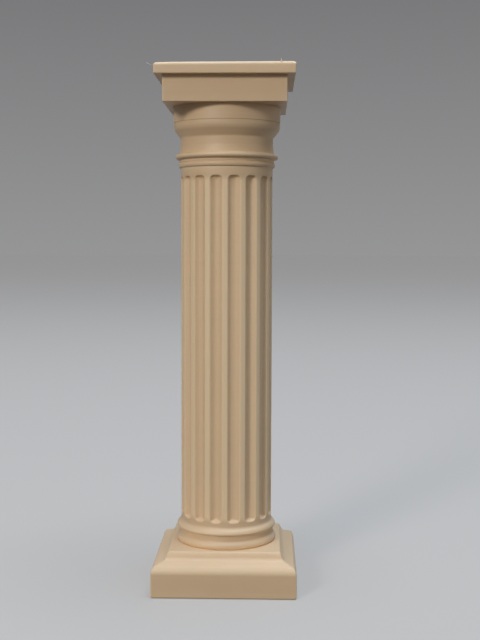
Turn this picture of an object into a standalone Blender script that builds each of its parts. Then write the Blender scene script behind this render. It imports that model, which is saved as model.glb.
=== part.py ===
"""Pedestal column: a desk-size model of a fluted column, printed in plain tan plastic.

Two pieces: the body, from the square plinth up to the swelling under the top, and the
cap, a round band under a square block and slab, which sits on the body along a fine seam.
Metres, +Z up, origin at the centre of the underside.
"""
import math

import bmesh
import bpy
from mathutils import Matrix

# Square plinth: an upright face with a soft shoulder, then a hollow up to a flat platform.
PLINTH_WIDTH = 0.0550
PLINTH_FACE_HEIGHT = 0.0090
PLINTH_FOOT_ROUND = 0.0007
SHOULDER_RADIUS = 0.0042
SHOULDER_TURN = 43.0
COVE_FLOOR_RISE = 0.0018
COVE_WALL_HEIGHT = 0.0027
COVE_CORNER_WIDTH = 0.0442
COVE_CORNER_ROUND = 0.0024
PLATFORM_WIDTH = 0.0434

# Turned base: a fat ring, a shallow hollow and a thinner ring that runs into the shaft.
LOWER_TORUS_HEIGHT = 0.0036
LOWER_TORUS_RADIUS = 0.0196
LOWER_TORUS_CREST = 0.0010
LOWER_TORUS_LIP = 0.0005
LOWER_TORUS_HOLLOW = 0.4
SCOTIA_HEIGHT = 0.0017
SCOTIA_RADIUS = 0.01845
SCOTIA_TURN = 30.0
UPPER_TORUS_HEIGHT = 0.0033
UPPER_TORUS_RADIUS = 0.0194
UPPER_TORUS_LIP = 0.0007
UPPER_TORUS_HOLLOW = 0.45

# Shaft: a straight cylinder with scooped flutes that stop short of both ends.
SHAFT_RADIUS = 0.0178
SHAFT_HEIGHT = 0.13755
FLUTE_COUNT = 16
FLUTE_WIDTH = 0.0050
FLUTE_DEPTH = 0.0015
FLUTE_END_RUN = 0.0021
FLUTE_FOOT_MARGIN = 0.0016
FLUTE_HEAD_MARGIN = 0.0037

# Neck: two rings with a narrow gap between, a plain neck and the swelling under the cap.
LOWER_RING_HEIGHT = 0.0022
LOWER_RING_RADIUS = 0.0187
RING_SPACE = 0.0010
UPPER_RING_HEIGHT = 0.0020
UPPER_RING_RADIUS = 0.0200
NECK_HEIGHT = 0.00595
NECK_RADIUS = 0.0179
OVOLO_HEIGHT = 0.00565
OVOLO_RADIUS = 0.0206
OVOLO_ROUND = 0.0039
OVOLO_TURN = 33.0
OVOLO_LIP = 0.0002

# Cap: a round band, a square block and a wider slab with softened top edges.
SEAM_GAP = 0.0003
BAND_HEIGHT = 0.00585
BAND_RADIUS = 0.0207
BLOCK_HEIGHT = 0.0098
BLOCK_WIDTH = 0.0461
SLAB_HEIGHT = 0.00435
SLAB_WIDTH = 0.0520
SLAB_EDGE_ROUND = 0.0005

# Fineness of the facets, and how deep joined shapes reach into each other.
ROUND_STEPS = 64
FLUTE_SIDES = 30
CORE_PIECES = 5
CORE_OVERRUN = 1.2
OVERLAP = 0.0010

# Heights of the joins, from the ground up.
SHOULDER_TOP = PLINTH_FACE_HEIGHT + SHOULDER_RADIUS * math.sin(math.radians(SHOULDER_TURN))
COVE_CORNER = SHOULDER_TOP + COVE_FLOOR_RISE
PLATFORM_TOP = COVE_CORNER + COVE_WALL_HEIGHT
LOWER_TORUS_TOP = PLATFORM_TOP + LOWER_TORUS_HEIGHT
SCOTIA_TOP = LOWER_TORUS_TOP + SCOTIA_HEIGHT
SHAFT_FOOT = SCOTIA_TOP + UPPER_TORUS_HEIGHT
SHAFT_TOP = SHAFT_FOOT + SHAFT_HEIGHT
LOWER_RING_TOP = SHAFT_TOP + LOWER_RING_HEIGHT
UPPER_RING_FOOT = LOWER_RING_TOP + RING_SPACE
UPPER_RING_TOP = UPPER_RING_FOOT + UPPER_RING_HEIGHT
NECK_TOP = UPPER_RING_TOP + NECK_HEIGHT
BODY_TOP = NECK_TOP + OVOLO_HEIGHT
CAP_BOTTOM = BODY_TOP + SEAM_GAP
BLOCK_BOTTOM = CAP_BOTTOM + BAND_HEIGHT
SLAB_BOTTOM = BLOCK_BOTTOM + BLOCK_HEIGHT
CAP_TOP = SLAB_BOTTOM + SLAB_HEIGHT


def clear_scene():
    for obj in list(bpy.data.objects):
        bpy.data.objects.remove(obj, do_unlink=True)


def new_collection(name):
    collection = bpy.data.collections.new(name)
    bpy.context.scene.collection.children.link(collection)
    return collection


def tan_plastic(name):
    material = bpy.data.materials.new(name)
    material.use_nodes = True
    shader = material.node_tree.nodes["Principled BSDF"]
    shader.inputs["Base Color"].default_value = (0.50, 0.37, 0.25, 1.0)
    shader.inputs["Roughness"].default_value = 0.5
    shader.inputs["Metallic"].default_value = 0.0
    return material


def curve_between(start, end, turn, pieces):
    """Circular arc from start to end that turns by the given degrees, positive to the left."""
    (x0, z0), (x1, z1) = start, end
    half = math.radians(turn) / 2
    chord = math.hypot(x1 - x0, z1 - z0)
    heading = math.atan2(z1 - z0, x1 - x0) - half
    radius = chord / (2 * math.sin(half))
    points = []
    for i in range(pieces + 1):
        swept = 2 * half * i / pieces
        reach = 2 * radius * math.sin(swept / 2)
        direction = heading + swept / 2
        points.append((x0 + reach * math.cos(direction), z0 + reach * math.sin(direction)))
    return points


def rounded_corner(start, corner, end, radius, pieces):
    """Line from start to end by way of a corner that is rounded to the given radius."""
    before = math.atan2(corner[1] - start[1], corner[0] - start[0])
    after = math.atan2(end[1] - corner[1], end[0] - corner[0])
    turn = after - before
    back = radius * math.tan(abs(turn) / 2)
    first = (corner[0] - back * math.cos(before), corner[1] - back * math.sin(before))
    last = (corner[0] + back * math.cos(after), corner[1] + back * math.sin(after))
    return [start] + curve_between(first, last, math.degrees(turn), pieces) + [end]


def ogee(start, end, share, pieces):
    """Double curve down from start to end, upright at both, that changes hand at the share."""
    (x0, z0), (x1, z1) = start, end
    turn = math.degrees(2 * math.atan((x1 - x0) / (z0 - z1)))
    middle = (x0 + (x1 - x0) * share, z0 + (z1 - z0) * share)
    return curve_between(start, middle, turn, pieces) + curve_between(middle, end, -turn, pieces)[1:]


def bead(inner, outer, top, bottom, pieces):
    """Rounded ring profile that swells from the inner to the outer radius, top to bottom."""
    points = []
    for i in range(pieces + 1):
        angle = math.pi * (0.5 - i / pieces)
        height = (top + bottom) / 2 + (top - bottom) / 2 * math.sin(angle)
        points.append((inner + (outer - inner) * math.cos(angle), height))
    return points


def turned(name, profile, collection, steps=ROUND_STEPS):
    """Solid made by turning a profile, given top to bottom, once round the Z axis."""
    mesh = bpy.data.meshes.new(name)
    edges = [(i, i + 1) for i in range(len(profile) - 1)]
    mesh.from_pydata([(radius, 0.0, z) for radius, z in profile], edges, [])
    obj = bpy.data.objects.new(name, mesh)
    collection.objects.link(obj)
    screw = obj.modifiers.new("Turn", "SCREW")
    screw.axis = "Z"
    screw.angle = math.tau
    screw.steps = steps
    screw.render_steps = steps
    screw.use_merge_vertices = True
    screw.merge_threshold = 0.00001
    screw.use_smooth_shade = steps > 4
    return obj


def mitred(name, profile, collection):
    """Square moulding with mitred corners; the profile gives half widths, top to bottom."""
    corners = [(half_width * math.sqrt(2), z) for half_width, z in profile]
    obj = turned(name, corners, collection, steps=4)
    obj.rotation_euler.z = math.radians(45)
    return obj


def boolean(obj, other, operation):
    """Join other to obj, or cut it away, and keep other only as a hidden guide."""
    modifier = obj.modifiers.new(operation.title() + " " + other.name, "BOOLEAN")
    modifier.operation = operation
    modifier.solver = "EXACT"
    modifier.object = other
    other.hide_render = True
    other.display_type = "WIRE"


def plinth_profile():
    half = PLINTH_WIDTH / 2
    foot = PLINTH_FOOT_ROUND
    turn = math.radians(SHOULDER_TURN)
    shoulder_end = (half - SHOULDER_RADIUS * (1 - math.cos(turn)), SHOULDER_TOP)
    platform_edge = (PLATFORM_WIDTH / 2, PLATFORM_TOP)
    cove_corner = (COVE_CORNER_WIDTH / 2, COVE_CORNER)
    cove = rounded_corner(platform_edge, cove_corner, shoulder_end, COVE_CORNER_ROUND, 6)
    shoulder = curve_between(shoulder_end, (half, PLINTH_FACE_HEIGHT), -SHOULDER_TURN, 5)
    toe = curve_between((half, foot), (half - foot, 0.0), -90, 3)
    return [(0.0, PLATFORM_TOP)] + cove + shoulder[1:] + toe + [(0.0, 0.0)]


def neck_profile():
    """From the seam down to the head of the shaft."""
    turn = math.radians(OVOLO_TURN)
    crest = (OVOLO_RADIUS, BODY_TOP - OVOLO_LIP)
    below = (crest[0] - OVOLO_ROUND * (1 - math.cos(turn)), crest[1] - OVOLO_ROUND * math.sin(turn))
    swelling = curve_between(crest, below, -OVOLO_TURN, 5) + [(NECK_RADIUS, NECK_TOP)]
    upper_ring = bead(NECK_RADIUS, UPPER_RING_RADIUS, UPPER_RING_TOP, UPPER_RING_FOOT, 6)
    lower_ring = bead(NECK_RADIUS, LOWER_RING_RADIUS, LOWER_RING_TOP, SHAFT_TOP, 6)
    return [(OVOLO_RADIUS - OVOLO_LIP, BODY_TOP)] + swelling + upper_ring + lower_ring[:-1]


def base_profile():
    """From the foot of the shaft down to the platform."""
    upper_crest = (UPPER_TORUS_RADIUS, SCOTIA_TOP + UPPER_TORUS_LIP)
    upper = ogee((SHAFT_RADIUS, SHAFT_FOOT), upper_crest, UPPER_TORUS_HOLLOW, 4)
    under = curve_between(upper_crest, (SCOTIA_RADIUS, SCOTIA_TOP), -90, 2)[1:]
    scotia = curve_between((SCOTIA_RADIUS, SCOTIA_TOP), (SCOTIA_RADIUS, LOWER_TORUS_TOP), SCOTIA_TURN, 3)
    lower_crest = (LOWER_TORUS_RADIUS, PLATFORM_TOP + LOWER_TORUS_CREST)
    lower = ogee((SCOTIA_RADIUS, LOWER_TORUS_TOP), lower_crest, LOWER_TORUS_HOLLOW, 4)[1:]
    lip = curve_between(lower_crest, (LOWER_TORUS_RADIUS - LOWER_TORUS_LIP, PLATFORM_TOP), -60, 3)[1:]
    return upper + under + scotia[1:] + lower + lip


def body_profile():
    outline = neck_profile() + [(SHAFT_RADIUS, SHAFT_TOP)] + base_profile()
    root = PLATFORM_TOP - OVERLAP
    return [(0.0, BODY_TOP)] + outline + [(outline[-1][0], root), (0.0, root)]


def flute_core(collection):
    """Turned core that the flutes run down to; it swells at both ends so that they fade out."""
    radius = (FLUTE_END_RUN ** 2 + FLUTE_DEPTH ** 2) / (2 * FLUTE_DEPTH)
    beyond = CORE_OVERRUN * math.asin(FLUTE_END_RUN / radius)
    floor = SHAFT_RADIUS - FLUTE_DEPTH
    head = SHAFT_TOP - FLUTE_HEAD_MARGIN - FLUTE_END_RUN
    foot = SHAFT_FOOT + FLUTE_FOOT_MARGIN + FLUTE_END_RUN
    upper = []
    lower = []
    for i in range(CORE_PIECES + 1):
        angle = beyond * i / CORE_PIECES
        flare = floor + radius * (1 - math.cos(angle))
        upper.insert(0, (flare, head + radius * math.sin(angle)))
        lower.append((flare, foot - radius * math.sin(angle)))
    top = [(0.0, upper[0][1])]
    bottom = [(0.0, lower[-1][1])]
    return turned("flute_core", top + upper + lower + bottom, collection)


def flute_rods(collection):
    """Upright rods set round the shaft, each cutting one flute of the named width and depth."""
    half_width = FLUTE_WIDTH / 2
    rise = SHAFT_RADIUS - math.sqrt(SHAFT_RADIUS ** 2 - half_width ** 2)
    depth = FLUTE_DEPTH - rise
    rod_radius = (half_width ** 2 + depth ** 2) / (2 * depth)
    distance = SHAFT_RADIUS - FLUTE_DEPTH + rod_radius
    height = SHAFT_HEIGHT - FLUTE_HEAD_MARGIN - FLUTE_FOOT_MARGIN
    middle = SHAFT_FOOT + FLUTE_FOOT_MARGIN + height / 2
    rods = bmesh.new()
    for i in range(FLUTE_COUNT):
        turn = Matrix.Rotation(math.tau * (i + 0.5) / FLUTE_COUNT, 4, "Z")
        place = turn @ Matrix.Translation((distance, 0.0, middle))
        bmesh.ops.create_cone(rods, cap_ends=True, segments=FLUTE_SIDES, radius1=rod_radius,
                              radius2=rod_radius, depth=height, matrix=place)
    mesh = bpy.data.meshes.new("flute_rods")
    rods.to_mesh(mesh)
    rods.free()
    cutter = bpy.data.objects.new("flute_rods", mesh)
    collection.objects.link(cutter)
    return cutter


def build_body(parts, guides):
    body = turned("column_body", body_profile(), parts)
    flutes = flute_rods(guides)
    boolean(flutes, flute_core(guides), "DIFFERENCE")
    boolean(body, flutes, "DIFFERENCE")
    boolean(body, mitred("plinth", plinth_profile(), guides), "UNION")
    body.data.materials.append(tan_plastic("body plastic"))
    return body


def build_cap(parts, guides):
    block = BLOCK_WIDTH / 2
    slab = SLAB_WIDTH / 2
    edge = SLAB_EDGE_ROUND
    softened = curve_between((slab - edge, CAP_TOP), (slab, CAP_TOP - edge), -90, 3)
    outline = [(0.0, CAP_TOP)] + softened + [(slab, SLAB_BOTTOM), (block, SLAB_BOTTOM)]
    outline += [(block, BLOCK_BOTTOM), (0.0, BLOCK_BOTTOM)]
    cap = mitred("abacus_cap", outline, parts)
    inside = BLOCK_BOTTOM + OVERLAP
    band_outline = [(0.0, inside), (BAND_RADIUS, inside), (BAND_RADIUS, CAP_BOTTOM), (0.0, CAP_BOTTOM)]
    boolean(cap, turned("round_band", band_outline, guides), "UNION")
    cap.data.materials.append(tan_plastic("cap plastic"))
    return cap


def build():
    clear_scene()
    parts = new_collection("pedestal_column")
    guides = new_collection("cutters and joined shapes")
    build_body(parts, guides)
    build_cap(parts, guides)


build()
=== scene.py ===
"""Looks for the pedestal column: a desk-size fluted column printed in plain tan plastic.

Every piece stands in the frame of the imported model: metres, +Z up, front towards -Y.
Sizes and heights below are in millimetres, turned into metres where a mesh is made.
"""

import math

import bmesh
import bpy
import numpy as np
from mathutils import Matrix, Vector


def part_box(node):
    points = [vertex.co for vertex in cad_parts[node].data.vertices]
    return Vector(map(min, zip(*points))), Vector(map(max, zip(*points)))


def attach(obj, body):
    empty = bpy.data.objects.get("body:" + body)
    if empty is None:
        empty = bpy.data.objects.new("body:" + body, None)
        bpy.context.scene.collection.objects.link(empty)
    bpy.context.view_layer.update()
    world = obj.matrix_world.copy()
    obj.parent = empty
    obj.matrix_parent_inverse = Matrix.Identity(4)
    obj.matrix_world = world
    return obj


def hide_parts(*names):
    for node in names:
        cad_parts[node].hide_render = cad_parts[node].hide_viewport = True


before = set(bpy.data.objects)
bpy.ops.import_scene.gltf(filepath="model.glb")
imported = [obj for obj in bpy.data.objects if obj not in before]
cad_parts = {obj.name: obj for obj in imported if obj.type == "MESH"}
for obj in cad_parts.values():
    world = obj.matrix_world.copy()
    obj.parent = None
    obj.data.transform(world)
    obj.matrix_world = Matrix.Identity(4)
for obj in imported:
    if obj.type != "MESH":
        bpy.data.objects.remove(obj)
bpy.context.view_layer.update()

MM = 0.001
BODY_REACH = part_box("column_body")[1]
CAP_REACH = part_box("abacus_cap")[1]

# Square plinth: an upright face, a rounded shoulder and a hollow up to the platform.
PLINTH_HALF = round(BODY_REACH.x / MM, 3)
PLINTH_CORNER = 0.45
PLINTH_SOFT = 0.16
FOOT_ROUND = 0.7
FACE_TOP = 9.0
SHOULDER_ROUND = 4.2
SHOULDER_TURN = 43.0
COVE_CORNER = (22.1, 1.8)
COVE_OUTER = (1.22, -0.52)
COVE_INNER = (-0.21, 1.31)
COVE_TURN = 57.4
PLATFORM_RISE = 4.5
BRIM_HALF = 21.4
BRIM_SOFT = 0.7
PLATFORM_INNER = 19.9

# Turned base, as points of its profile, whose heights count from the platform.
TORUS_LIP = (19.1, 0.0)
LOWER_TORUS = (19.6, 1.0)
SCOTIA_FOOT = (18.45, 3.6)
SCOTIA_HEAD = (18.45, 5.3)
SCOTIA_TURN = 30.0
UPPER_TORUS = (19.4, 6.0)
LOWER_HOLLOW = 0.4
UPPER_HOLLOW = 0.45

# Shaft, and flutes that stop short of both its ends.
FLUTES = 16
SHAFT_R = 17.8
SHAFT_FOOT = 24.964
SHAFT_TOP = 162.514
FLUTE_HALF = 2.32
FLUTE_WALL = 56.0
FLUTE_STRETCH = 1.22
FLUTE_FLOOR = 1.65
FLUTE_FOOT = SHAFT_FOOT + 1.6
FLUTE_HEAD = SHAFT_TOP - 3.7
FLUTE_RUN = 1.75
FLUTE_CORNER = 1.55
FLOOR_SOFT = 0.15
END_ROUND_SHARE = 0.96
END_SLOPE = 3.4
RIDGE_SOFT = 0.8

# Neck: two rings, a plain stretch and the swelling; heights count from the head of the shaft.
LOWER_RING_R = 18.7
LOWER_RING = (-0.25, 1.95)
RING_GROOVE = (18.3, 2.0)
UPPER_RING_INNER = 18.4
UPPER_RING_R = 20.0
UPPER_RING = (2.9, 5.2)
NECK_R = 17.9
NECK_STRAIGHT = 8.0
NECK_HEAD = 11.15
NECK_SOFT = 1.2
OVOLO_R = 20.6
OVOLO_ROUND = 4.0
OVOLO_TURN = 36.0
OVOLO_CREST_DROP = 0.95
SEAM_INNER = 19.0
SEAM_EDGE = 0.04
BODY_TOP = 179.44

# Cap: a round band, a square block and a slab with a rounded top edge.
CAP_BOTTOM = 179.49
BAND_R = 20.7
BLOCK_HALF = 23.05
BLOCK_HEIGHT = 9.8
BLOCK_INNER = 21.85
SLAB_HALF = round(CAP_REACH.x / MM, 3)
SLAB_HEIGHT = 4.35
SLAB_INNER = 23.65
SLAB_EDGE = 1.2
CAP_TOP = round(CAP_REACH.z / MM, 3)
SLAB_BOTTOM = CAP_TOP - SLAB_HEIGHT
BLOCK_BOTTOM = SLAB_BOTTOM - BLOCK_HEIGHT
CAP_CORNER = 0.35
CORNER_SOFT = 0.15

# The slab's top droops towards its left side, and its right front corner has a small blob.
DROOP_ALONG = 0.22
DROOP_CORNER = 0.22
DROOP_POWER = 12
BLOB_REACH = 0.32
BLOB_SPREAD = 1.3
BLOB_HEIGHT = 198.7
BLOB_RISE = 0.8

# Columns of the mesh over half a flute, in degrees from its middle: closest at the flute's edge.
HALF_FLUTE = [1.0, 2.0, 3.0, 3.9, 4.7, 5.4, 6.0, 6.5, 6.95, 7.35, 7.75, 8.15, 8.6, 9.1, 9.8, 10.5]
# Rows of the mesh at a flute's end, counted inwards from the end.
FLUTE_END = [-0.5, -0.3, -0.15, 0, 0.12, 0.25, 0.4, 0.55, 0.75, 0.95, 1.2, 1.5, 1.8, 2.15, 2.55, 3.1]
# Rows of the slab's flat top, counted inwards from its rounded edge.
TOP_ROWS = [0.3, 1.8]
CAP_COLUMNS = 256
CORNER_PIECES = 7

# Square members, whose upright edges get a painted highlight: half width, lowest and highest.
SQUARES = (
    (PLINTH_HALF, 0.0, 10.0),
    (BLOCK_HALF, BLOCK_BOTTOM, SLAB_BOTTOM),
    (SLAB_HALF, SLAB_BOTTOM, CAP_TOP),
)
EDGE_HIGHLIGHT = 0.5
EDGE_REACH = 0.5
EDGE_FADE = 0.4

# Bands of painted highlight all round the column, on ring and torus crests and rounded edges: height, spread
# and how strong the painted highlight is.
HIGHLIGHT_BANDS = (
    (0.3, 0.6, 0.5),
    (10.4, 1.3, 0.40),
    (15.4, 0.6, 0.45),
    (16.36, 0.15, 0.15),
    (19.1, 0.8, 0.4),
    (22.4, 0.9, 0.7),
    (162.3, 0.25, 0.6),
    (163.5, 0.8, 0.4),
    (165.0, 0.5, 0.9),
    (166.8, 0.8, 0.8),
    (198.6, 0.9, 0.35),
)
# Painted highlight over the whole fluted shaft, and more of it on the ridges.
SHAFT_HIGHLIGHT = 0.30
RIDGE_HIGHLIGHT = 0.60
RIDGE_REACH = 0.45
SHAFT_FADE = 2.0

# Tan plastic: its darker and lighter tint, the paler, whiter tint painted on as highlight, and one printed
# layer.
TAN_DARK = (0.750, 0.535, 0.320, 1.0)
TAN_LIGHT = (0.810, 0.578, 0.346, 1.0)
TAN_HIGHLIGHT = (0.960, 0.730, 0.460, 1.0)
LAYER = 0.2

# Camera at the photograph's place, nearly level, a little above the middle of the column.
CAMERA_PLACE = (0.01604, -0.42421, 0.13558)
CAMERA_YAW = 0.02537
CAMERA_PITCH = 0.07611
CAMERA_ROLL = 0.00280
CAMERA_LENS = 60.82


def arc(start, end, turn, pieces):
    """Circular arc between two profile points, turning left by the given degrees."""
    (x0, z0), (x1, z1) = start, end
    half = math.radians(turn) / 2
    heading = math.atan2(z1 - z0, x1 - x0) - half
    radius = math.hypot(x1 - x0, z1 - z0) / (2 * math.sin(half))
    points = []
    for i in range(pieces + 1):
        swept = 2 * half * i / pieces
        reach = 2 * radius * math.sin(swept / 2)
        way = heading + swept / 2
        points.append((x0 + reach * math.cos(way), z0 + reach * math.sin(way)))
    return points


def ogee(start, end, share, pieces):
    """Double curve down from start to end, upright at both, that changes hand at the share."""
    (x0, z0), (x1, z1) = start, end
    turn = math.degrees(2 * math.atan((x1 - x0) / (z0 - z1)))
    middle = (x0 + (x1 - x0) * share, z0 + (z1 - z0) * share)
    return arc(start, middle, turn, pieces) + arc(middle, end, -turn, pieces)[1:]


def bead(inner, outer, bottom, top, pieces):
    """Half-round ring profile from the bottom up."""
    points = []
    for i in range(pieces + 1):
        angle = math.pi * (i / pieces - 0.5)
        height = (bottom + top) / 2 + (top - bottom) / 2 * math.sin(angle)
        points.append((inner + (outer - inner) * math.cos(angle), height))
    return points


def above(base, point):
    """A profile point whose height counts from the given base."""
    return (point[0], base + point[1])


def soften(points, radius, pieces=3):
    """Rounds every corner of a profile that turns by 25 degrees or more to a small radius."""
    out = [points[0]]
    for before, corner, after in zip(points, points[1:], points[2:]):
        a = Vector(corner) - Vector(before)
        b = Vector(after) - Vector(corner)
        turn = -math.degrees(a.angle_signed(b)) if a.length and b.length else 0
        if abs(turn) < 25:
            out.append(corner)
            continue
        back = min(radius * math.tan(math.radians(abs(turn)) / 2), a.length * 0.45, b.length * 0.45)
        first = Vector(corner) - a.normalized() * back
        last = Vector(corner) + b.normalized() * back
        out += arc(tuple(first), tuple(last), turn, pieces)
    out.append(points[-1])
    return out


def hold(points, near=0.2, long=1.0):
    """Adds rows close to both ends of every long straight run, so that it shades flat."""
    out = [points[0]]
    for a, b in zip(points, points[1:]):
        length = math.dist(a, b)
        if length > long:
            for share in (near / length, 1 - near / length):
                out.append((a[0] + (b[0] - a[0]) * share, a[1] + (b[1] - a[1]) * share))
        out.append(b)
    return out


def body_angles():
    """Angles round the column in degrees, the same pattern for every flute, from -45 upwards."""
    period = 360 / FLUTES
    offsets = [-period / 2] + [-o for o in reversed(HALF_FLUTE)] + [0.0] + HALF_FLUTE
    return np.array([period * (k + 0.5) - 45 + o for k in range(FLUTES) for o in offsets])


BODY_ANGLES = body_angles()
CAP_ANGLES = 360 * np.arange(CAP_COLUMNS) / CAP_COLUMNS - 45


def round_ring(radii, angles):
    """Points of a circle, or of a fluted outline where the radii differ."""
    a = np.radians(angles)
    return np.stack([radii * np.cos(a), radii * np.sin(a)], 1)


def square_ring(half, corner, count):
    """Points of a square with rounded corners, from the middle of the corner at -45 degrees."""
    side = count // 4
    straight = half - corner
    points = []
    for k in range(4):
        turn = math.radians(90 * k)
        for i in range(side):
            past = min(i, side - i)
            if past < CORNER_PIECES:
                bend = math.radians(45 - 45 * past / CORNER_PIECES)
                x = straight + corner * math.cos(bend)
                y = math.copysign(straight + corner * math.sin(bend), 2 * i - side)
            else:
                x = half
                y = straight * (2 * (i - CORNER_PIECES) / (side - 2 * CORNER_PIECES) - 1)
            points.append((x * math.cos(turn) - y * math.sin(turn), x * math.sin(turn) + y * math.cos(turn)))
    return np.array(points)


def painted_highlight(verts):
    """How strong the painted highlight is at each point: most on ridges, ring crests and the rounded edges
    of the square members.
    """
    x, y, z = verts.T
    out = np.hypot(x, y)
    highlight = np.zeros(len(verts))
    for height, spread, amount in HIGHLIGHT_BANDS:
        highlight = np.maximum(highlight, amount * np.exp(-((z - height) / spread) ** 2))
    for half, low, high in SQUARES:
        edge = np.clip((np.minimum(np.abs(x), np.abs(y)) - half + EDGE_REACH) / EDGE_FADE, 0, 1)
        highlight = np.maximum(highlight, EDGE_HIGHLIGHT * edge * (z > low) * (z < high))
    fluted = np.clip((z - FLUTE_FOOT) / SHAFT_FADE, 0, 1) * np.clip((FLUTE_HEAD - z) / SHAFT_FADE, 0, 1)
    ridge = np.clip(1 - (SHAFT_R - out) / RIDGE_REACH, 0, 1)
    return np.maximum(highlight, fluted * (SHAFT_HIGHLIGHT + RIDGE_HIGHLIGHT * ridge))


def link(name, data):
    obj = bpy.data.objects.new(name, data)
    bpy.context.scene.collection.objects.link(obj)
    return obj


def skin(name, rows, material):
    """Closed mesh from rings of points, each with its height, from the bottom row up."""
    count = len(rows[0][0])
    points = []
    for ring, z in rows:
        points.append(np.column_stack([ring, np.broadcast_to(z, count)]))
    verts = np.vstack(points) * MM
    faces = []
    for low in range(0, (len(rows) - 1) * count, count):
        for i in range(count):
            j = (i + 1) % count
            faces.append((low + i, low + j, low + count + j, low + count + i))
    last = (len(rows) - 1) * count
    faces.append(tuple(range(count - 1, -1, -1)))
    faces.append(tuple(range(last, last + count)))
    mesh = bpy.data.meshes.new(name)
    mesh.from_pydata(verts.tolist(), [], faces)
    mesh.update()
    # Strength of the painted highlight at each point, which the material turns into a paler, whiter tint.
    mesh.attributes.new("painted_highlight", "FLOAT", "POINT").data.foreach_set("value", painted_highlight(verts / MM))
    mesh.shade_smooth()
    mesh.set_sharp_from_angle(angle=math.radians(40))
    mesh.materials.append(material)
    return link(name, mesh)


# Flutes: scoops with steep walls and small rounded corners, whose floor runs out like a ball.

def flute_section():
    """Each column's distance across its flute, and its depth there, which is negative on a ridge."""
    period = 360 / FLUTES
    off = np.radians((BODY_ANGLES + 45) % period - period / 2)
    across = SHAFT_R * np.sin(np.abs(off))
    wall = math.radians(FLUTE_WALL)
    bow = FLUTE_HALF / math.sin(wall)
    scoop = np.sqrt(np.maximum(bow ** 2 - across ** 2, 0)) - bow * math.cos(wall)
    slope = (FLUTE_HALF - across) * math.tan(wall)
    core = np.where(across < FLUTE_HALF, scoop, slope) * FLUTE_STRETCH
    chord = math.sqrt(SHAFT_R ** 2 - FLUTE_HALF ** 2)
    return across, SHAFT_R * np.cos(off) - chord + core


ACROSS, SECTION = flute_section()


def soft_least(a, b, blend):
    """The smaller of two depths, with the edge between them softened."""
    h = np.clip(0.5 + 0.5 * (b - a) / blend, 0, 1)
    return b + (a - b) * h - blend * h * (1 - h)


def flute_depth(z):
    """Depth of every column of the shaft at one height, with the ridges rounded off."""
    inside = np.maximum(ACROSS - (FLUTE_HALF - FLUTE_CORNER), 0)
    pull = FLUTE_CORNER - np.sqrt(np.maximum(FLUTE_CORNER ** 2 - inside ** 2, 0))
    ball = (FLUTE_RUN ** 2 + FLUTE_FLOOR ** 2) / (2 * FLUTE_FLOOR)
    steep = END_ROUND_SHARE * ball
    depth = SECTION
    for reach in (z - FLUTE_FOOT - pull, FLUTE_HEAD - z - pull):
        left = np.clip(FLUTE_RUN - reach, 0, steep)
        beyond = np.maximum(FLUTE_RUN - reach - steep, 0)
        floor = FLUTE_FLOOR - (ball - np.sqrt(ball ** 2 - left ** 2)) - END_SLOPE * beyond
        depth = soft_least(depth, floor, FLOOR_SOFT)
    share = np.clip(0.5 + 0.5 * depth / RIDGE_SOFT, 0, 1)
    return depth * share + RIDGE_SOFT * share * (1 - share)


def shaft_heights():
    """Rows of the shaft: close together where the flutes end, far apart between."""
    foot = [FLUTE_FOOT + d for d in FLUTE_END]
    head = [FLUTE_HEAD - d for d in reversed(FLUTE_END)]
    middle = np.linspace(foot[-1], head[0], 8)[1:-1].tolist()
    return foot + middle + head


# Body, from the plinth up to the seam.

def plinth_rows():
    """Square part of the body, from the foot to the platform, and the platform's height."""
    turn = math.radians(SHOULDER_TURN)
    shoulder_top = FACE_TOP + SHOULDER_ROUND * math.sin(turn)
    shoulder = (PLINTH_HALF - SHOULDER_ROUND * (1 - math.cos(turn)), shoulder_top)
    top = shoulder_top + PLATFORM_RISE
    corner = above(shoulder_top, COVE_CORNER)
    outer = (corner[0] + COVE_OUTER[0], corner[1] + COVE_OUTER[1])
    inner = (corner[0] + COVE_INNER[0], corner[1] + COVE_INNER[1])
    foot = arc((PLINTH_HALF - FOOT_ROUND, 0.0), (PLINTH_HALF, FOOT_ROUND), 90, 5)
    face = [(PLINTH_HALF, FACE_TOP / 3), (PLINTH_HALF, FACE_TOP * 2 / 3)]
    round_up = arc((PLINTH_HALF, FACE_TOP), shoulder, SHOULDER_TURN, 8)
    cove = arc(outer, inner, -COVE_TURN, 8)
    brim = soften([inner, (BRIM_HALF, top), (PLATFORM_INNER, top)], BRIM_SOFT, 5)
    profile = soften(foot + face + round_up + cove, PLINTH_SOFT) + brim[1:]
    return [(square_ring(half, PLINTH_CORNER, len(BODY_ANGLES)), z) for half, z in hold(profile)], top


def base_profile(top):
    """Round part of the base, from the platform to the foot of the shaft."""
    scotia_foot = above(top, SCOTIA_FOOT)
    scotia_head = above(top, SCOTIA_HEAD)
    lower_crest = above(top, LOWER_TORUS)
    upper_crest = above(top, UPPER_TORUS)
    upper = ogee((SHAFT_R, SHAFT_FOOT), upper_crest, UPPER_HOLLOW, 8)
    under = arc(upper_crest, scotia_head, -90, 6)
    scotia = arc(scotia_head, scotia_foot, SCOTIA_TURN, 5)
    lower = ogee(scotia_foot, lower_crest, LOWER_HOLLOW, 7)
    lip = arc(lower_crest, above(top, TORUS_LIP), -60, 5)
    falling = upper + under[1:] + scotia[1:] + lower[1:] + lip[1:]
    return list(reversed(falling))


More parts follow.
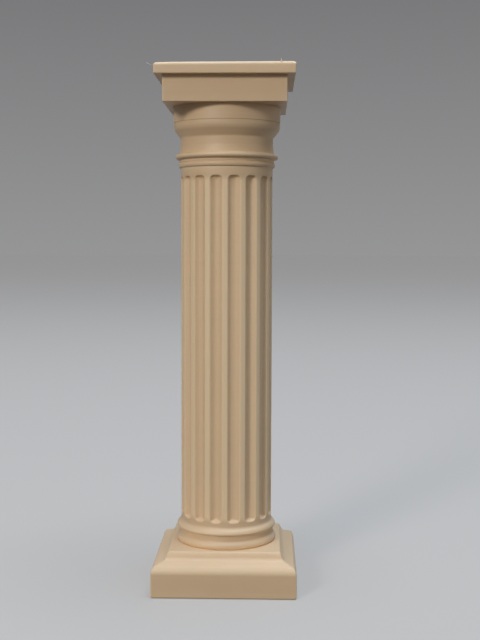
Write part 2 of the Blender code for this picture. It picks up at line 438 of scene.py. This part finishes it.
def neck_profile():
    """From the head of the shaft to the seam."""
    lower = bead(NECK_R, LOWER_RING_R, SHAFT_TOP + LOWER_RING[0], SHAFT_TOP + LOWER_RING[1], 10)
    upper = bead(UPPER_RING_INNER, UPPER_RING_R, SHAFT_TOP + UPPER_RING[0], SHAFT_TOP + UPPER_RING[1], 12)
    rings = lower[:-1] + [above(SHAFT_TOP, RING_GROOVE)] + upper
    turn = math.radians(OVOLO_TURN)
    crest = (OVOLO_R, BODY_TOP - OVOLO_CREST_DROP)
    below = (OVOLO_R - OVOLO_ROUND * (1 - math.cos(turn)), crest[1] - OVOLO_ROUND * math.sin(turn))
    straight = [(NECK_R, SHAFT_TOP + NECK_STRAIGHT), (NECK_R, SHAFT_TOP + NECK_HEAD)]
    neck = soften(straight + [below], NECK_SOFT, 5)[:-1]
    swell = arc(below, crest, OVOLO_TURN, 8)
    tuck = [(OVOLO_R, BODY_TOP - SEAM_EDGE), (OVOLO_R - SEAM_EDGE, BODY_TOP), (SEAM_INNER, BODY_TOP)]
    return rings + neck + swell + tuck


def turned_rows(profile, angles):
    return [(round_ring(np.full(len(angles), radius), angles), z) for radius, z in profile]


def make_body(material):
    rows, top = plinth_rows()
    rows += turned_rows(base_profile(top), BODY_ANGLES)
    for z in shaft_heights():
        rows.append((round_ring(SHAFT_R - flute_depth(z), BODY_ANGLES), z))
    rows += turned_rows(hold(neck_profile(), near=0.25), BODY_ANGLES)
    return skin("column_body_print", rows, material)


# Cap, from the seam up.

def corner_blob(ring, z):
    """The slab's right front corner, where the plastic oozed out a little."""
    corner = np.array([SLAB_HALF, -SLAB_HALF])
    level = math.exp(-((z - BLOB_HEIGHT) / BLOB_RISE) ** 2)
    near = np.exp(-np.sum((ring - corner) ** 2, 1) / BLOB_SPREAD ** 2) * level
    return ring + BLOB_REACH * near[:, None] * np.array([1.0, -0.6])


def droop(ring, z):
    """How much lower the slab lies at each point: more towards its left side, most at the corners."""
    share = (SLAB_HALF - ring[:, 0]) / (2 * SLAB_HALF)
    height = max(z - SLAB_BOTTOM, 0) / (CAP_TOP - SLAB_BOTTOM)
    return (DROOP_ALONG * share + DROOP_CORNER * share ** DROOP_POWER) * height


def cap_squares(profile):
    rows = []
    for half, z in profile:
        ring = square_ring(half, CAP_CORNER, CAP_COLUMNS)
        rows.append((corner_blob(ring, z), z - droop(ring, z)))
    return rows


def make_cap(material):
    edge_foot = (SLAB_HALF, CAP_TOP - SLAB_EDGE)
    band = soften([(SEAM_INNER, CAP_BOTTOM), (BAND_R, CAP_BOTTOM), (BAND_R, BLOCK_BOTTOM)], SEAM_EDGE)
    block = [(BLOCK_INNER, BLOCK_BOTTOM), (BLOCK_HALF, BLOCK_BOTTOM), (BLOCK_HALF, SLAB_BOTTOM)]
    slab = [(SLAB_INNER, SLAB_BOTTOM), (SLAB_HALF, SLAB_BOTTOM), edge_foot]
    edge = arc(edge_foot, (SLAB_HALF - SLAB_EDGE, CAP_TOP), 90, 7)
    rows = turned_rows(hold(band), CAP_ANGLES) + cap_squares(hold(soften(block, CORNER_SOFT)))
    rows += cap_squares(hold(soften(slab, CORNER_SOFT) + edge[1:]))
    rows += cap_squares([(edge[-1][0] - inwards, CAP_TOP) for inwards in TOP_ROWS])
    return skin("abacus_cap_print", rows, material)


# Stray threads of plastic at the top corners of the slab, and tiny beads on the seam.

def thread(name, points, widths, material):
    """Thin tapering thread through the points, with its radius at each."""
    curve = bpy.data.curves.new(name, "CURVE")
    curve.dimensions = "3D"
    curve.bevel_depth = MM
    curve.bevel_resolution = 2
    curve.use_fill_caps = True
    spline = curve.splines.new("POLY")
    spline.points.add(len(points) - 1)
    for point, place, width in zip(spline.points, points, widths):
        point.co = (place[0] * MM, place[1] * MM, place[2] * MM, 1.0)
        point.radius = width
    curve.materials.append(material)
    return link(name, curve)


def make_stray_thread(material):
    """Thread that stands out from the slab's left front corner."""
    route = [(-25.8, -25.7, 198.2), (-26.4, -25.9, 198.28), (-27.1, -26.0, 198.3), (-27.6, -26.0, 198.4)]
    route += [(-27.9, -26.0, 198.56), (-28.1, -26.0, 198.7), (-28.5, -26.0, 198.9)]
    return thread("stray_thread", route, [0.10, 0.06, 0.05, 0.07, 0.16, 0.12, 0.02], material)


def make_tuft(material):
    """Short tuft that stands up near the right end of the slab's front edge."""
    route = [(20.8, -25.3, 199.2), (20.76, -25.4, 199.6), (20.68, -25.45, 199.95), (20.62, -25.5, 200.6)]
    return thread("top_tuft", route, [0.55, 0.40, 0.16, 0.04], material)


def make_beads(material):
    """Tiny blobs of plastic that oozed out along the seam: three in front, the rest at random."""
    rng = np.random.default_rng(5)
    angles = [-104.4, -70.1, -61.1] + list(rng.uniform(-40, 230, 12))
    shape = bmesh.new()
    for angle in angles:
        size = rng.uniform(0.09, 0.16)
        height = CAP_BOTTOM - 0.02 + rng.uniform(-0.05, 0.05)
        turn = Matrix.Rotation(math.radians(angle), 4, "Z")
        place = Matrix.Translation((BAND_R - SEAM_EDGE, 0.0, height))
        form = Matrix.Diagonal((size * 0.8, size * 1.3, size, 1.0))
        bmesh.ops.create_uvsphere(shape, u_segments=12, v_segments=8, radius=1.0,
                                  matrix=Matrix.Scale(MM, 4) @ turn @ place @ form)
    mesh = bpy.data.meshes.new("seam_beads")
    shape.to_mesh(mesh)
    shape.free()
    mesh.shade_smooth()
    mesh.materials.append(material)
    return link("seam_beads", mesh)


# Plastic: tan, a little uneven, with very fine level layers, a soft sheen and painted highlights on ridges,
# crests and edges.

def add_node(tree, kind, **values):
    """New node with the given socket values, whose names have _ for a space."""
    node = tree.nodes.new(kind)
    for name, value in values.items():
        node.inputs[name.replace("_", " ")].default_value = value
    return node


def add_bump(tree, height, strength, distance):
    node = add_node(tree, "ShaderNodeBump", Strength=strength, Distance=distance * MM)
    tree.links.new(height, node.inputs["Height"])
    return node


def plastic_colour(tree, cloud, streak):
    """Tint that wanders a little with the clouds and streaks, and turns paler where highlights are painted
    on.
    """
    blend = add_node(tree, "ShaderNodeMix", Factor=0.45)
    tint = tree.nodes.new("ShaderNodeValToRGB")
    tint.color_ramp.elements[0].position = 0.3
    tint.color_ramp.elements[0].color = TAN_DARK
    tint.color_ramp.elements[1].position = 0.7
    tint.color_ramp.elements[1].color = TAN_LIGHT
    # Painted highlight: the tint turns paler and whiter where the highlight attribute is high.
    highlight_attribute = tree.nodes.new("ShaderNodeAttribute")
    highlight_attribute.attribute_name = "painted_highlight"
    highlighted = tree.nodes.new("ShaderNodeMix")
    highlighted.data_type = "RGBA"
    highlighted.inputs["B"].default_value = TAN_HIGHLIGHT
    tree.links.new(cloud, blend.inputs["A"])
    tree.links.new(streak, blend.inputs["B"])
    tree.links.new(blend.outputs["Result"], tint.inputs["Fac"])
    tree.links.new(highlight_attribute.outputs["Fac"], highlighted.inputs["Factor"])
    tree.links.new(tint.outputs["Color"], highlighted.inputs["A"])
    return highlighted.outputs["Result"]


def print_relief(tree, place, streak):
    """Normal with fine level layers and a faint unevenness along them."""
    layers = math.tau / 20 / (LAYER * MM)
    layer = add_node(tree, "ShaderNodeTexWave", Scale=layers, Distortion=0.4, Detail=1.0)
    layer.bands_direction = "Z"
    tree.links.new(place, layer.inputs["Vector"])
    lines = add_bump(tree, layer.outputs["Fac"], 0.25, 0.02)
    uneven = add_bump(tree, streak, 0.3, 0.06)
    tree.links.new(lines.outputs["Normal"], uneven.inputs["Normal"])
    return uneven.outputs["Normal"]


def plastic(name, seed):
    material = bpy.data.materials.new(name)
    material.use_nodes = True
    tree = material.node_tree
    shader = tree.nodes["Principled BSDF"]
    shader.inputs["Metallic"].default_value = 0.0
    shader.inputs["IOR"].default_value = 1.5
    shader.inputs["Specular IOR Level"].default_value = 0.75
    shader.inputs["Subsurface Weight"].default_value = 0.15
    shader.inputs["Subsurface Radius"].default_value = (1.0, 0.55, 0.3)
    shader.inputs["Subsurface Scale"].default_value = 1.2 * MM

    place = tree.nodes.new("ShaderNodeTexCoord").outputs["Object"]
    shift = add_node(tree, "ShaderNodeMapping", Location=(seed, seed * 0.7, seed * 1.3))
    cloud = add_node(tree, "ShaderNodeTexNoise", Scale=45.0, Detail=4.0)
    flat = add_node(tree, "ShaderNodeMapping", Scale=(12.0, 12.0, 900.0))
    streak = add_node(tree, "ShaderNodeTexNoise", Scale=1.0, Detail=3.0)
    tree.links.new(place, shift.inputs["Vector"])
    tree.links.new(shift.outputs["Vector"], cloud.inputs["Vector"])
    tree.links.new(shift.outputs["Vector"], flat.inputs["Vector"])
    tree.links.new(flat.outputs["Vector"], streak.inputs["Vector"])
    sheen = add_node(tree, "ShaderNodeMapRange", To_Min=0.47, To_Max=0.57)
    tree.links.new(streak.outputs["Fac"], sheen.inputs["Value"])

    colour = plastic_colour(tree, cloud.outputs["Fac"], streak.outputs["Fac"])
    relief = print_relief(tree, place, streak.outputs["Fac"])
    tree.links.new(colour, shader.inputs["Base Color"])
    tree.links.new(sheen.outputs["Result"], shader.inputs["Roughness"])
    tree.links.new(relief, shader.inputs["Normal"])
    return material


# Studio: pale floor, soft lights and a grey backdrop.

def make_light(name, place, target, size, energy, colour):
    data = bpy.data.lights.new(name, "AREA")
    data.shape = "DISK"
    data.size = size
    data.energy = energy
    data.color = colour
    obj = link(name, data)
    obj.location = place
    obj.rotation_mode = "QUATERNION"
    obj.rotation_quaternion = (Vector(target) - Vector(place)).to_track_quat("-Z", "Y")


def make_camera():
    level = math.cos(CAMERA_PITCH)
    forward = Vector((-math.sin(CAMERA_YAW) * level, math.cos(CAMERA_YAW) * level, -math.sin(CAMERA_PITCH)))
    across = Vector((math.cos(CAMERA_YAW), math.sin(CAMERA_YAW), 0.0))
    upward = across.cross(forward)
    right = across * math.cos(CAMERA_ROLL) + upward * math.sin(CAMERA_ROLL)
    up = upward * math.cos(CAMERA_ROLL) - across * math.sin(CAMERA_ROLL)
    data = bpy.data.cameras.new("camera")
    data.sensor_width = 36.0
    data.lens = CAMERA_LENS
    obj = link("camera", data)
    turn = Matrix((right, up, -forward)).transposed()
    obj.matrix_world = Matrix.Translation(CAMERA_PLACE) @ turn.to_4x4()
    bpy.context.scene.camera = obj


def make_floor():
    reach = 8.0
    corners = [(-reach, -reach, 0.0), (reach, -reach, 0.0), (reach, reach, 0.0), (-reach, reach, 0.0)]
    mesh = bpy.data.meshes.new("floor")
    mesh.from_pydata(corners, [], [(0, 1, 2, 3)])
    material = bpy.data.materials.new("floor")
    material.use_nodes = True
    shader = material.node_tree.nodes["Principled BSDF"]
    shader.inputs["Base Color"].default_value = (0.315, 0.290, 0.258, 1.0)
    shader.inputs["Roughness"].default_value = 0.85
    shader.inputs["Emission Color"].default_value = (0.239, 0.242, 0.248, 1.0)
    shader.inputs["Emission Strength"].default_value = 1.0
    mesh.materials.append(material)
    floor = link("floor", mesh)
    floor.visible_diffuse = False


def make_backdrop():
    """Grey surroundings: dark below, palest at the level of the eye and darker again above."""
    world = bpy.data.worlds.new("studio")
    world.use_nodes = True
    tree = world.node_tree
    place = tree.nodes.new("ShaderNodeTexCoord")
    split = tree.nodes.new("ShaderNodeSeparateXYZ")
    half = add_node(tree, "ShaderNodeMapRange", From_Min=-1.0)
    sky = tree.nodes.new("ShaderNodeValToRGB")
    sky.color_ramp.elements[0].position = 0.45
    sky.color_ramp.elements[0].color = (0.030, 0.030, 0.030, 1.0)
    sky.color_ramp.elements[1].position = 0.485
    sky.color_ramp.elements[1].color = (0.31, 0.31, 0.315, 1.0)
    sky.color_ramp.elements.new(0.66).color = (0.14, 0.14, 0.145, 1.0)
    tree.links.new(place.outputs["Generated"], split.inputs["Vector"])
    tree.links.new(split.outputs["Z"], half.inputs["Value"])
    tree.links.new(half.outputs["Result"], sky.inputs["Fac"])
    tree.links.new(sky.outputs["Color"], tree.nodes["Background"].inputs["Color"])
    bpy.context.scene.world = world
    bpy.context.scene.view_settings.view_transform = "Standard"


make_camera()
make_floor()
make_backdrop()
make_light("top", (0.20, -0.10, 2.0), (0.0, 0.0, 0.1), 1.4, 28.5, (0.84, 1.0, 1.23))
make_light("key", (-1.11, -1.85, 1.06), (0.0, 0.0, 0.11), 0.62, 22.0, (1.03, 1.0, 0.97))
make_light("fill", (2.2, -0.9, 0.5), (0.0, 0.0, 0.11), 1.20, 4.0, (1.0, 1.0, 1.0))

body = make_body(plastic("body_plastic", 0.31))
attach(body, "root")
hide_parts("column_body")

cap_plastic = plastic("cap_plastic", 1.73)
cap = make_cap(cap_plastic)
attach(cap, "root")
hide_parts("abacus_cap")

for trace in (make_stray_thread(cap_plastic), make_tuft(cap_plastic), make_beads(cap_plastic)):
    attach(trace, "root")
